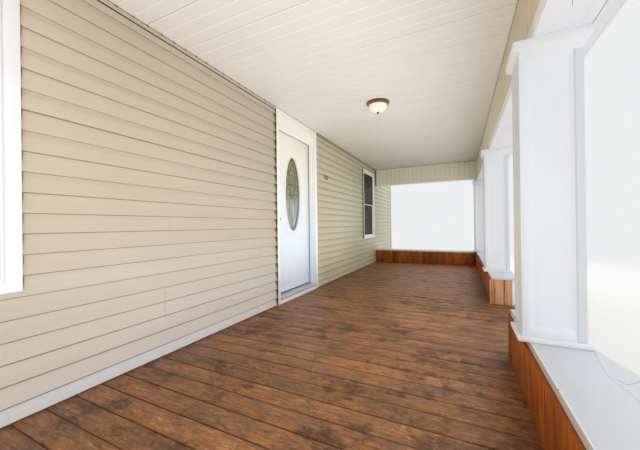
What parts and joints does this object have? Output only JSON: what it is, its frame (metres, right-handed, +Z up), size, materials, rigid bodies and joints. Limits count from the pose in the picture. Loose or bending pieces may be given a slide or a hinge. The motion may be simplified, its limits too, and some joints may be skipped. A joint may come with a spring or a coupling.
{
  "type": "front porch",
  "caption": "Timber front porch on its house wall: stained deck, low plank walls, white box columns, boxed beam, ribbed ceiling, lean-to roof and an oval-glass door that swings inward.",
  "frame": {"origin": "centre of the bounding box, on the ground", "axes": "+X along the porch towards the end that shows far off in the picture, +Y into the house, +Z up"},
  "size_m": [11.84, 3.217, 3.87],
  "materials": {
    "concrete": "matte, sandy",
    "wall_core": "sheathing boards",
    "siding": "matte, embossed grain",
    "white_trim": "satin white paint",
    "door_paint": "satin white paint",
    "door_glass": "obscured, with lead lines",
    "sill_metal": "dull mill finish",
    "lock_metal": "satin nickel",
    "hinge_metal": "satin",
    "window_glass": "dark, clean",
    "deck_wood": "worn brown stain",
    "frame_wood": "rough sawn",
    "plank_wood": "orange-brown stain",
    "facing": "matte, ribbed",
    "ceiling": "matte, ribbed",
    "lamp_metal": "dark bronze, satin",
    "lamp_glass": "frosted white",
    "shingles": "granular"
  },
  "bodies": {
    "porch": {"house_foundation": "concrete", "wall_near": "wall_core", "wall_far": "wall_core", "wall_over_door": "wall_core", "siding_near": "siding", "siding_far": "siding", "corner_posts": "siding", "door_casing": "white_trim", "door_jamb": "white_trim", "door_riser": "white_trim", "door_sill": "sill_metal", "jamb_hinges": "hinge_metal", "window_casings": "white_trim", "window_frames": "white_trim", "window_sashes": "white_trim", "window_panes": "window_glass", "foundation_front": "concrete", "foundation_cross": "concrete", "deck_joists": "frame_wood", "deck_rim": "deck_wood", "deck_floor": "deck_wood", "front_steps": "concrete", "knee_walls_front": "white_trim", "knee_walls_end": "white_trim", "knee_planks": "plank_wood", "knee_caps_front": "white_trim", "knee_caps_end": "white_trim", "column_bases": "white_trim", "columns": "white_trim", "column_capitals": "white_trim", "beam_bottom_boards": "white_trim", "front_beam": "white_trim", "end_beams": "white_trim", "beam_facing": "facing", "ceiling": "ceiling", "lamp_ring": "lamp_metal", "lamp_bowl": "lamp_glass", "rafters": "frame_wood", "roof_gables": "white_trim", "eave_boards": "white_trim", "roof_covering": "shingles"},
    "door": {"door_slab": "door_paint", "door_oval_frame": "door_paint", "door_glass": "door_glass", "door_lockset": "lock_metal", "door_hinges": "hinge_metal"}
  },
  "joints": [
    {"name": "door_swing", "type": "hinge", "parent": "porch", "child": "door", "pos_m": [0.6655, 1.553, 1.6], "axis": [0, 0, -1], "range_deg": [0, 95]}
  ]
}
